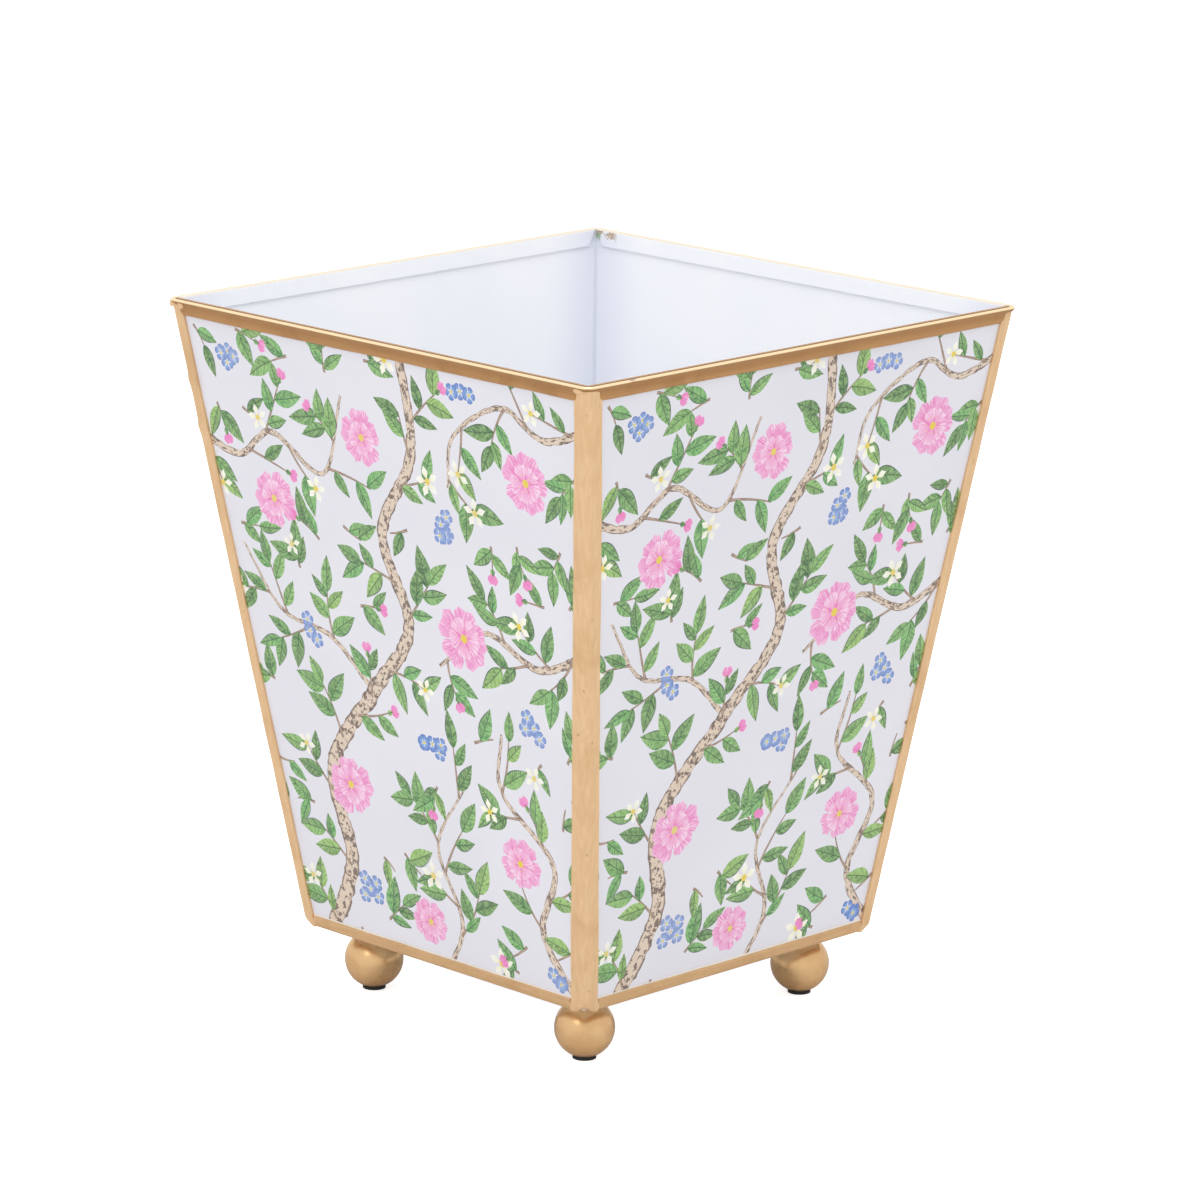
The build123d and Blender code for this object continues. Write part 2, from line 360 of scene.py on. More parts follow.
def add_sweep(bm, rings, turn):
    """A closed skin through rings of equally many points in mm."""
    loops = []
    for ring in rings:
        loops.append([bm.verts.new(turned(point, turn)) for point in ring])
    count = len(rings[0])
    for here, there in zip(loops, loops[1:]):
        for index in range(count):
            after = (index + 1) % count
            bm.faces.new((here[index], here[after], there[after], there[index]))
    bm.faces.new(loops[0][::-1])
    bm.faces.new(loops[-1])


def to_mesh(bm, name):
    bmesh.ops.recalc_face_normals(bm, faces=bm.faces)
    mesh = bpy.data.meshes.new(name)
    bm.to_mesh(mesh)
    bm.free()
    return mesh


# Gilt strips


def toe_limit(level):
    """How far out along the diagonal a corner may reach, where its toe is knocked in."""
    share = 1.0 - (level - LIFT) / TOE_RISE
    if share <= 0.0:
        return math.inf
    rounding = (math.sqrt(2) - 1) * CORNER_BEND
    foot = half_width(LIFT) * math.sqrt(2) - rounding - TOE_RUN
    top = half_width(LIFT + TOE_RISE) * math.sqrt(2) - rounding
    return top + (foot - top) * share


def corner_ring(level, seed, knocks=()):
    """The corner strip's outline at a level, round the front right corner and back inside."""
    legs = [CORNER_LEG + 0.28 * soft_noise(seed + side, level, 22.0) for side in (0, 1)]
    knock_height, knock_length = 0.3, 1.5
    swell = 0.07 * soft_noise(seed + 5, level, 9.0)
    for drop in knocks:
        swell += knock_height * math.exp(-((RIM_LEVEL - level - drop) / knock_length) ** 2)
    leg_shares = (0.0, 0.04, 0.35, 0.7)
    bend_steps = 8
    outline = []
    for depth, order in ((0.0, 1), (STRIP_THICKNESS, -1)):
        half = half_width(level, depth)
        bend = CORNER_BEND - depth
        front_leg, side_leg = [leg - depth / math.cos(TILT) for leg in legs]
        outside = depth == 0.0
        lift = swell if outside else 0.0
        edge_lift = lift - FREE_EDGE_ROUNDING if outside else lift
        run = []
        for share in leg_shares:
            out = lift if share else edge_lift
            run.append((half - front_leg + share * (front_leg - bend), -half - out))
        for step in range(bend_steps + 1):
            angle = math.pi / 2 * step / bend_steps
            reach = bend + lift
            run.append((half - bend + reach * math.sin(angle), -half + bend - reach * math.cos(angle)))
        for share in leg_shares[::-1]:
            out = lift if share else edge_lift
            run.append((half + out, -half + side_leg - share * (side_leg - bend)))
        outline += run[::order]
    limit = toe_limit(level)
    ring = []
    for x, y in outline:
        over = (x - y) / math.sqrt(2) - limit
        pull = max(0.0, over) / math.sqrt(2)
        ring.append((x - pull, y + pull, level))
    return ring


def add_lump(bm, place, size, turn):
    """A small lump of solder under the paint, sunk into the strips."""
    for vert in bmesh.ops.create_icosphere(bm, subdivisions=3, radius=1.0)["verts"]:
        swell = 1.0 + 0.2 * noise.noise(vert.co * 1.3 + Vector(place))
        spot = [middle + reach * swell * away for middle, reach, away in zip(place, size, vert.co)]
        vert.co = turned(spot, turn)


def corner_lumps(corner):
    """Where solder shows: each lump's place in mm and its reach each way, on the front right corner."""
    rim, foot = half_width(RIM_LEVEL), half_width(LIFT)
    bead_level = RIM_LEVEL - 0.75
    strip_joint = 4.7
    lumps = [
        ((foot - strip_joint, -foot + 0.15, LIFT + 1.6), (0.6, 0.4, 1.5)),
        ((foot - 0.15, -foot + strip_joint, LIFT + 1.6), (0.4, 0.6, 1.5)),
        ((foot - 1.9, -foot + 1.9, LIFT + 0.9), (0.8, 0.8, 0.7)),
    ]
    if corner == "front_right":
        lumps.append(((rim - 3.6, -rim + 0.15, bead_level - 0.5), (1.5, 0.6, 0.9)))
    elif corner == "front_left":
        lumps.append(((rim - 0.15, -rim + 1.8, bead_level - 0.5), (0.6, 1.0, 0.9)))
        lumps.append(((rim - 0.15, -rim + 4.8, bead_level - 0.6), (0.6, 1.1, 1.0)))
    else:
        lumps.append(((rim - 1.7, -rim + 0.5, bead_level), (0.9, 0.6, 0.6)))
    return lumps


def corner_tab(level):
    """The small plate that closes the corner strip's foot, its tip cut off with the toe."""
    edge = half_width(LIFT) - STRIP_THICKNESS
    inner = half_width(LIFT) - CORNER_LEG
    gap_to_toe = 0.3
    cut = toe_limit(LIFT) * math.sqrt(2) - edge - gap_to_toe
    return [(inner, -inner, level), (inner, -edge, level), (cut, -edge, level),
            (edge, -cut, level), (edge, -inner, level)]


def corner_piece(turn, corner, material):
    """A folded corner strip with its knocked-in toe, its tab and its lumps of solder."""
    top = RIM_LEVEL - BEAD_RADIUS
    toe_steps, wall_steps = 8, 110
    toe_top = 1.2 * TOE_RISE  # the close steps reach a little past the toe
    levels = [LIFT + toe_top * step / toe_steps for step in range(toe_steps + 1)]
    first = levels[-1]
    levels += [first + (top - first) * step / wall_steps for step in range(1, wall_steps + 1)]
    seed = 11 + 10 * turn
    knocks = (21.0, 33.0) if corner == "front_left" else ()
    bm = bmesh.new()
    add_sweep(bm, [corner_ring(level, seed, knocks) for level in levels], turn)
    for place, size in corner_lumps(corner):
        add_lump(bm, place, size, turn)
    add_sweep(bm, [corner_tab(LIFT), corner_tab(LIFT + STRIP_THICKNESS)], turn)
    finish_piece(to_mesh(bm, corner), f"gilt_corner_{corner}", material, f"corner_strip_{corner}")


def rim_ring(station, seed, nick_at):
    """The rim strip's outline at a station: x along the wall, then round the corner."""
    x, angle, leg = station
    nick_depth, nick_length = 0.25, 0.9
    nick = nick_depth * math.exp(-((x - nick_at) / nick_length) ** 2)
    radius = BEAD_RADIUS - nick
    wave = 0.1 * soft_noise(seed, x + 40 * angle, 14.0)
    foot_drop = leg + 0.16 * soft_noise(seed + 2, x, 18.0)
    face_depth, edge_rounding, outward_lean = 0.02, 0.12, 0.26
    neck_drop, bead_drop, inner_drop = 1.15, 0.62, 1.2
    profile = [(STRIP_THICKNESS, foot_drop), (edge_rounding, foot_drop)]
    profile.append((face_depth, foot_drop - edge_rounding))
    for share in (0.25, 0.5, 0.75, 1.0):
        drop = foot_drop + (neck_drop - foot_drop) * share
        profile.append((face_depth - outward_lean * share + wave * math.sin(math.pi * share), drop))
    bead_depth = 0.05 + 0.5 * wave
    bead_start, bead_sweep, bead_steps = 215.0, 245.0, 10
    for step in range(bead_steps + 1):
        bead_angle = math.radians(bead_start - bead_sweep * step / bead_steps)
        depth = bead_depth + radius * math.cos(bead_angle)
        profile.append((depth, bead_drop + nick - radius * math.sin(bead_angle)))
    profile.append((STRIP_THICKNESS, inner_drop))
    ring = []
    for depth, drop in profile:
        level = RIM_LEVEL - drop * math.cos(TILT)
        half = half_width(level, depth)
        if angle == 0.0:
            ring.append((x, -half, level))
            continue
        bend = CORNER_BEND - depth / math.cos(TILT)
        centre = half - bend
        side = math.copysign(1.0, x)
        ring.append((side * (centre + bend * math.sin(angle)), -centre - bend * math.cos(angle), level))
    return ring


def rim_piece(turn, side, material):
    """A rim strip whose bead runs on round half of each corner; the right one has a small nick."""
    leg_end = half_width(RIM_LEVEL) - CORNER_LEG + 0.25
    bend_start = half_width(RIM_LEVEL) - CORNER_BEND
    bead_only = 1.4  # height of what goes on past the strip's lower edge
    bend_steps, wall_steps = 5, 130
    bends = [math.radians(45 * step / bend_steps) for step in range(bend_steps, 0, -1)]
    stations = [(bend_start, angle, bead_only) for angle in bends]
    stations += [(bend_start, 0.0, bead_only), (leg_end + 0.5, 0.0, bead_only + 0.3)]
    stations.append((leg_end, 0.0, RIM_STRIP_HEIGHT - 0.25))
    along = [(leg_end - 0.3) * (1 - 2 * step / wall_steps) for step in range(wall_steps + 1)]
    ends = [(-x, angle, leg) for x, angle, leg in stations[::-1]]
    stations += [(x, 0.0, RIM_STRIP_HEIGHT) for x in along] + ends
    nick_from_corner = 15.0
    nick_at = nick_from_corner - half_width(RIM_LEVEL) if side == "right" else math.inf
    seed = 201 + 7 * turn
    bm = bmesh.new()
    add_sweep(bm, [rim_ring(station, seed, nick_at) for station in stations], turn)
    finish_piece(to_mesh(bm, side), f"gilt_rim_{side}", material, f"rim_strip_{side}", 50.0)


def base_piece(turn, side, material):
    """The base strip, its heel rounded and its lower leg turned in under the base plate."""
    seed = 301 + 7 * turn
    end = half_width(LIFT) - CORNER_LEG + 0.15
    heel, heel_steps = 0.9, 4
    edge_rounding, inner_bend = 0.15, 1.0
    wall_steps = 60
    rings = []
    for step in range(wall_steps + 1):
        x = end * (2 * step / wall_steps - 1)
        top = BASE_STRIP_HEIGHT + 0.18 * soft_noise(seed, x, 16.0)
        wave = 0.06 * soft_noise(seed + 3, x, 11.0)
        profile = [(STRIP_THICKNESS, top), (0.14, top), (-wave, top - edge_rounding)]
        profile += [(-wave, 1.9), (-wave, heel)]
        for part in range(1, heel_steps + 1):
            angle = math.pi / 2 * part / heel_steps
            profile.append((heel * (1 - math.cos(angle)), heel * (1 - math.sin(angle))))
        profile += [(BASE_STRIP_TUCK, 0.0), (BASE_STRIP_TUCK, STRIP_THICKNESS)]
        profile += [(inner_bend, STRIP_THICKNESS), (STRIP_THICKNESS, inner_bend)]
        rings.append([(x, -half_width(LIFT + rise, depth), LIFT + rise) for depth, rise in profile])
    bm = bmesh.new()
    add_sweep(bm, rings, turn)
    finish_piece(to_mesh(bm, side), f"gilt_base_{side}", material, f"base_strip_{side}")


# Ball feet


def ball_piece(corner, material):
    """A turned ball with its flat, and a short neck with a fillet of paint up to the base."""
    low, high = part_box(f"ball_foot_{corner}")
    middle = (low + high) / 2 / MM
    radius = (high.x - low.x) / 2 / MM
    flat_level = low.z / MM
    pad_stand = 0.3  # how far the pad stands below the whole ball
    ball_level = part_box(f"foot_pad_{corner}")[0].z / MM + pad_stand + radius
    neck_radius, neck_fillet = 2.9, 0.5
    flat_angle = math.asin((flat_level - ball_level) / radius)
    neck_angle = math.acos((neck_radius + neck_fillet) / radius)
    profile = [(0.0, flat_level)]
    steps, around = 40, 72
    for step in range(steps + 1):
        angle = flat_angle + (neck_angle - flat_angle) * step / steps
        profile.append((radius * math.cos(angle), ball_level + radius * math.sin(angle)))
    start = profile[-1][1]
    for share in (0.15, 0.4, 1.0):
        width = neck_radius + neck_fillet * (1 - share) ** 2
        profile.append((width, start + (PLATE_UNDERSIDE - start) * share))
    profile.append((0.0, PLATE_UNDERSIDE))
    bm = bmesh.new()
    rings = []
    for width, level in profile:
        if width == 0.0:
            rings.append([bm.verts.new(Vector((middle.x, middle.y, level)) * MM)])
            continue
        ring = []
        for index in range(around):
            angle = 2 * math.pi * index / around
            spot = Vector((math.cos(angle) * width, math.sin(angle) * width, level))
            unround = 0.004 * noise.noise(spot / 3.5 + Vector((middle.x, middle.y, 0.0)))
            lump = 1.0 + unround
            place = Vector((middle.x + spot.x * lump, middle.y + spot.y * lump, level))
            ring.append(bm.verts.new(place * MM))
        rings.append(ring)
    for here, there in zip(rings, rings[1:]):
        for index in range(around):
            after = (index + 1) % around
            if len(here) == 1:
                bm.faces.new((here[0], there[index], there[after]))
            elif len(there) == 1:
                bm.faces.new((here[index], here[after], there[0]))
            else:
                bm.faces.new((here[index], here[after], there[after], there[index]))
    finish_piece(to_mesh(bm, corner), f"gilt_ball_{corner}", material, f"ball_foot_{corner}")


# Printed design. It is drawn in mm on the wall's own slope: x from its middle, y up from its foot.


class Motif:
    """One printed shape: its outline, what kind it is, its paint, and its own stroke directions."""

    def __init__(self, outline, kind, paint, strokes):
        self.outline = outline
        self.kind = kind
        self.paint = paint
        self.strokes = strokes


def flat_paint(color):
    return lambda point: color


def no_strokes(point):
    return 0.0, 0.0


def heading_of(angle):
    return Vector((math.cos(angle), math.sin(angle)))


def blend_colors(first, second, share):
    share = min(1.0, max(0.0, share))
    return tuple(a + (b - a) * share for a, b in zip(first, second))


LEAF_GREENS = [linear(110, 166, 90), linear(130, 182, 100), linear(86, 142, 74)]
LEAF_GREENS += [linear(150, 190, 98), linear(66, 116, 56), linear(98, 172, 96)]
DARK_GREEN = linear(34, 78, 42)
BARK_TONE = linear(222, 202, 182)
TWIG_TONE = linear(178, 152, 130)
PINK_PALE, PINK_LIGHT = linear(252, 232, 244), linear(248, 206, 234)
PINK, PINK_DEEP = linear(242, 150, 208), linear(228, 88, 172)
BLUE_LIGHT, BLUE = linear(150, 188, 234), linear(66, 108, 188)
CREAM, CREAM_DEEP, YELLOW = linear(250, 250, 238), linear(242, 236, 180), linear(230, 204, 52)
GROUND_TONE = linear(227, 226, 233)


def smooth_path(points, step=1.2):
    """Points along a soft curve through the given ones."""
    spots = [Vector(p) for p in points]
    spots = [spots[0] * 2 - spots[1]] + spots + [spots[-1] * 2 - spots[-2]]
    path = []
    for a, b, c, d in zip(spots, spots[1:], spots[2:], spots[3:]):
        count = max(2, round((c - b).length / step))
        for index in range(count):
            t = index / count
            second, third = 2 * a - 5 * b + 4 * c - d, 3 * b - 3 * c + d - a
            path.append(0.5 * (2 * b + (c - a) * t + second * t**2 + third * t**3))
    path.append(spots[-2])
    return path


def path_strokes(path, start_width, end_width):
    """Strokes that follow a stem: mm along it, and across it from -1 to 1."""
    lengths = [0.0]
    for here, there in zip(path, path[1:]):
        lengths.append(lengths[-1] + (there - here).length)

    def strokes(point):
        nearest = min(range(len(path)), key=lambda index: (path[index] - point).length_squared)
        before, after = path[max(0, nearest - 1)], path[min(len(path) - 1, nearest + 1)]
        heading = (after - before).normalized()
        away = point - path[nearest]
        width = start_width + (end_width - start_width) * lengths[nearest] / lengths[-1]
        return lengths[nearest] + away.dot(heading), 2 * heading.cross(away) / width

    return strokes


def stem(path, start_width, end_width, paint, wobble=0.0, seed=0):
    """A tapering stem along a path."""
    left, right = [], []
    for index, spot in enumerate(path):
        before, after = path[max(0, index - 1)], path[min(len(path) - 1, index + 1)]
        heading = (after - before).normalized()
        normal = Vector((-heading.y, heading.x))
        share = index / (len(path) - 1)
        width = (start_width + (end_width - start_width) * share) / 2
        left.append(spot + normal * width * (1 + wobble * soft_noise(seed, index, 1.7)))
        right.append(spot - normal * width * (1 + wobble * soft_noise(seed + 9, index, 1.7)))
    return Motif(left + right[::-1], BARK, flat_paint(paint), path_strokes(path, start_width, end_width))


def leaf(base, angle, length, width, curl, rng):
    """An ovate leaf in two halves either side of its midrib, one half often edged in dark ink."""
    heading = heading_of(angle)
    normal = Vector((-heading.y, heading.x))
    base = Vector(base)

    def at(t, across):
        return base + heading * length * t + normal * (across + curl * length * t * t)

    def strokes(point):
        away = point - base
        t = away.dot(heading) / length
        return t * length + 31.0 * angle, away.dot(normal) - curl * length * t * t

    ts = [index / 10 for index in range(11)]
    rise = [0.0] + [width / 2 * math.sin(math.pi * t**0.85) ** 0.9 * (1 - 0.25 * t) for t in ts[1:-1]] + [0.0]
    tone = rng.choice(LEAF_GREENS)
    shade = blend_colors(tone, DARK_GREEN, rng.uniform(0.2, 0.55))
    parts = []
    dark_side = rng.choice((-1, 1))
    for side in (-1, 1):
        color = shade if side == dark_side else tone
        rib = [at(t, 0.0) for t in ts]
        edge = [at(t, side * r) for t, r in zip(ts, rise)]
        outline = rib + edge[-2:0:-1]
        tip = blend_colors(color, linear(170, 198, 132), 0.35)

        def paint(point, color=color, tip=tip):
            return blend_colors(color, tip, (point - base).dot(heading) / length)

        parts.append(Motif(outline, LEAF, paint, strokes))
        if side == dark_side and rng.random() < 0.55:
            thin = [at(t, side * max(0.0, r - 0.32 * math.sin(math.pi * t))) for t, r in zip(ts, rise)]
            parts.append(Motif(edge + thin[-2:0:-1], GROUND, flat_paint(DARK_GREEN), no_strokes))
    return parts


def petal(centre, angle, inner, outer, spread, notch, colors, kind=PETAL):
    """A petal that widens to a round or notched end, its paint fading outwards."""
    centre = Vector(centre)
    points = []
    for share, width in ((0.0, 0.22), (0.3, 0.62), (0.62, 0.96), (0.85, 0.86), (0.97, 0.45)):
        points.append((inner + (outer - inner) * share, width))
    end = inner + (outer - inner) * (1.0 - notch)
    side = [(radius, width * spread) for radius, width in points]
    polar = side + [(end, 0.0)] + [(radius, -width) for radius, width in side[::-1]]
    outline = [centre + heading_of(angle + w) * r for r, w in polar]

    def paint(point):
        return blend_colors(colors[0], colors[1], ((point - centre).length - inner) / (outer - inner))

    def strokes(point):
        away = point - centre
        return away.length, 6.0 * math.atan2(away.y, away.x) * 2.0 + angle * 5

    return Motif(outline, kind, paint, strokes)


def disc(centre, radius, color, sides=8):
    centre = Vector(centre)
    outline = [centre + heading_of(math.tau * index / sides) * radius for index in range(sides)]
    return Motif(outline, GROUND, flat_paint(color), no_strokes)


def blossom(centre, radius, rng):
    """A full five-petalled pink blossom with a second, smaller ring and yellow stamens."""
    start = rng.uniform(0, math.tau)
    parts = []
    for ring, (reach, colors) in enumerate(((1.0, (PINK_DEEP, PINK_LIGHT)), (0.64, (PINK, PINK_PALE)))):
        for index in range(5):
            angle = start + math.tau * (index + 0.5 * ring) / 5 + rng.uniform(-0.08, 0.08)
            outer = radius * reach * rng.uniform(0.92, 1.06)
            parts.append(petal(centre, angle, 0.3, outer, 0.66, 0.12, colors))
    parts.append(disc(centre, radius * 0.13, YELLOW))
    for index in range(9):
        angle = start + math.tau * index / 9
        reach = radius * rng.uniform(0.2, 0.3)
        parts.append(disc(Vector(centre) + heading_of(angle) * reach, 0.2, YELLOW, 5))
    return parts


def star_flower(centre, radius, rng):
    """A small cream flower with narrow petals and a yellow eye."""
    start = rng.uniform(0, math.tau)
    parts = []
    for index in range(5):
        angle = start + math.tau * index / 5
        parts.append(petal(centre, angle, 0.2, radius, 0.42, -0.25, (CREAM_DEEP, CREAM), GROUND))
    parts.append(disc(centre, radius * 0.28, YELLOW, 7))
    return parts


def blue_cluster(centre, rng):
    """A loose head of small blue flowers on a short stalk."""
    parts = []
    for index in range(rng.choice((3, 4, 5))):
        away = Vector((rng.uniform(-1, 1), rng.uniform(-1, 1))).normalized() * (3.1 if index else 0.0)
        spot = Vector(centre) + away
        start = rng.uniform(0, math.tau)
        for step in range(5):
            angle = start + math.tau * step / 5
            parts.append(petal(spot, angle, 0.2, 2.3, 0.6, 0.0, (BLUE_LIGHT, BLUE), GROUND))
        parts.append(disc(spot, 0.45, YELLOW, 6))
    return parts


def bud(base, angle, rng):
    """A pink bud in its green cup."""
    tip = Vector(base) + heading_of(angle) * 0.6
    parts = [petal(tip, angle + turn, 0.1, 3.6, 0.5, -0.1, (PINK_DEEP, PINK)) for turn in (-0.22, 0.22)]
    return parts + leaf(base, angle, 2.2, 1.7, 0.0, rng)


class Design:
    """Grows the flowering branches, keeping motifs from crowding each other."""

    def __init__(self, seed):
        self.rng = random.Random(seed)
        self.stems, self.leaves, self.flowers = [], [], []
        self.taken = []

    def free(self, spot, radius):
        return all((Vector(spot) - place).length > radius + size for place, size in self.taken)

    def take(self, spot, radius):
        self.taken.append((Vector(spot), radius))

    def add_leaf(self, base, angle, scale=1.0):
        rng = self.rng
        length = rng.uniform(7.2, 11.2) * scale
        middle = Vector(base) + heading_of(angle) * length * 0.55
        if not self.free(middle, length * 0.18):
            return
        self.take(middle, length * 0.23)
        width = length * rng.uniform(0.42, 0.56)
        self.leaves += leaf(base, angle, length, width, rng.uniform(-0.16, 0.16), rng)

    def twig(self, base, angle, length, ends_in):
        rng = self.rng
        bend = rng.uniform(-0.5, 0.5)
        spots = [Vector(base)]
        for step in range(3):
            angle += bend / 3
            spots.append(spots[-1] + heading_of(angle) * length / 3)
        path = smooth_path(spots)
        self.stems.append(stem(path, 0.85, 0.4, TWIG_TONE))
        for index, share in enumerate((0.2, 0.45, 0.7, 0.95)):
            spot = path[int(share * (len(path) - 1))]
            side = 1 if index % 2 else -1
            self.add_leaf(spot, angle + side * rng.uniform(0.6, 1.0))
        tip = path[-1]
        if ends_in == "star" and self.free(tip, 1.5):
            self.flowers += star_flower(tip, rng.uniform(2.6, 3.6), rng)
            self.take(tip, 3.0)
        elif ends_in == "bud":
            self.flowers += bud(tip, angle, rng)
            self.take(tip, 2.4)
        else:
            self.add_leaf(tip, angle, 1.05)

    def branch(self, points, start_width, end_width, spacing, first_side=1):
        rng = self.rng
        path = smooth_path(points)
        self.stems.insert(0, stem(path, start_width, end_width, BARK_TONE, 0.35, len(points)))
        for spot in path[::2]:
            self.take(spot, 0.55 * start_width)
        every = max(3, round(spacing / 1.2))
        side = first_side
        for index in range(every, len(path) - 1, every):
            heading = path[index + 1] - path[index - 1]
            angle = math.atan2(heading.y, heading.x) + side * rng.uniform(0.5, 0.95)
            length = rng.uniform(9.0, 16.0)
            reach = path[index] + heading_of(angle) * length
            if self.free(reach, 2.0):
                self.twig(path[index], angle, length, rng.choice(("leaf", "star", "leaf", "star", "bud")))
            side = -side

    def motifs(self):
        return self.stems + self.leaves + self.flowers


def panel_half(rise):
    """Half the printed sheet's width at a distance up the slope."""
    return BASE_WIDTH / 2 - STRIP_THICKNESS / math.cos(TILT) + rise * math.sin(TILT) - PRINT_MARGIN


def draw_design():
    """The whole design of one wall."""
    design = Design(40)
    rng = design.rng
    for centre, radius in (((-27, 44), 8.6), ((22, 93), 9.2), ((-44, 118), 8.0), ((34, 36), 7.4),
                           ((50, 138), 8.4), ((-8, 140), 7.6), ((-2, 12), 6.8)):
        design.flowers += blossom(centre, radius, rng)
        design.take(centre, radius * 0.92)
    for centre in ((44, 74), (-36, 84), (6, 62), (-56, 152), (18, 122), (-24, 16), (30, 158), (42, 8)):
        design.flowers += blue_cluster(centre, rng)
        design.take(centre, 4.4)
    trunk = [(-44, -4), (-30, 22), (-33, 48), (-14, 72), (2, 92), (-4, 116), (10, 140), (8, 172)]
    design.branch(trunk, 5.2, 3.0, 9.0)
    design.branch([(68, 98), (48, 90), (30, 96), (12, 84)], 2.6, 0.9, 8.0)
    design.branch([(-76, 134), (-56, 128), (-42, 136), (-24, 128), (-14, 150)], 2.4, 0.8, 8.0, -1)
    design.branch([(54, -2), (40, 18), (46, 38), (30, 54), (32, 70)], 2.8, 0.9, 8.5)
    design.branch([(-14, 72), (-28, 84), (-46, 88), (-58, 104)], 1.8, 0.7, 8.0)
    design.branch([(76, 156), (58, 150), (44, 156), (26, 146), (22, 132)], 2.2, 0.8, 8.0, -1)
    design.branch([(0, -4), (10, 14), (4, 34), (16, 52)], 1.8, 0.6, 8.0)
    for _ in range(900):
        rise = rng.uniform(4, SLANT - 4)
        spot = (rng.uniform(-1, 1) * panel_half(rise), rise)
        if design.free(spot, 4.7):
            angle, length = rng.uniform(0, math.tau), rng.uniform(5, 8)
            design.twig(spot, angle, length, rng.choice(("leaf", "star", "star", "bud")))
            design.take(spot, 4.0)
    return design.motifs()


def inside(outline, spots):
    """Which of the spots lie inside an outline, by counting its edges to their right."""
    corners = np.array([tuple(point) for point in outline])
    found = np.zeros(len(spots), bool)
    for (ax, ay), (bx, by) in zip(corners, np.roll(corners, -1, axis=0)):
        if ay == by:
            continue
        spans = (ay > spots[:, 1]) != (by > spots[:, 1])
        crossing = ax + (spots[:, 1] - ay) * (bx - ax) / (by - ay)
        found ^= spans & (spots[:, 0] < crossing)
    return found


def triangulate(outline, motifs):
    """One flat net of triangles in which each belongs to the topmost motif that covers it."""
    points, edges = [], []
    for shape in [outline] + [motif.outline for motif in motifs]:
        first, count = len(points), len(shape)
        edges += [(first + index, first + (index + 1) % count) for index in range(count)]
        points += [Vector(point) for point in shape]
    verts, _, triangles, *_ = delaunay_2d_cdt(points, edges, [], 0, 1e-4)
    places = np.array([tuple(vert) for vert in verts])
    centres = places[np.array(triangles)].mean(axis=1)
    owners = np.full(len(triangles), -1)
    for number, motif in enumerate(motifs):
        corners = np.array([tuple(point) for point in motif.outline])
        near = np.all((centres >= corners.min(0)) & (centres <= corners.max(0)), axis=1)
        near[near] = inside(motif.outline, centres[near])
        owners[near] = number
    kept = np.flatnonzero(inside(outline, centres))
    return verts, [list(triangles[index]) for index in kept], [int(owners[index]) for index in kept]


def rim_of(triangles):
    """The net's outer edge, as one loop of point numbers."""
    following = {}
    edges = set()
    for triangle in triangles:
        for a, b in zip(triangle, triangle[1:] + triangle[:1]):
            edges.add((a, b))
    for a, b in edges:
        if (b, a) not in edges:
            following[a] = b
    start = next(iter(following))
    loop = [start]
    while following[loop[-1]] != start:
        loop.append(following[loop[-1]])
    return loop


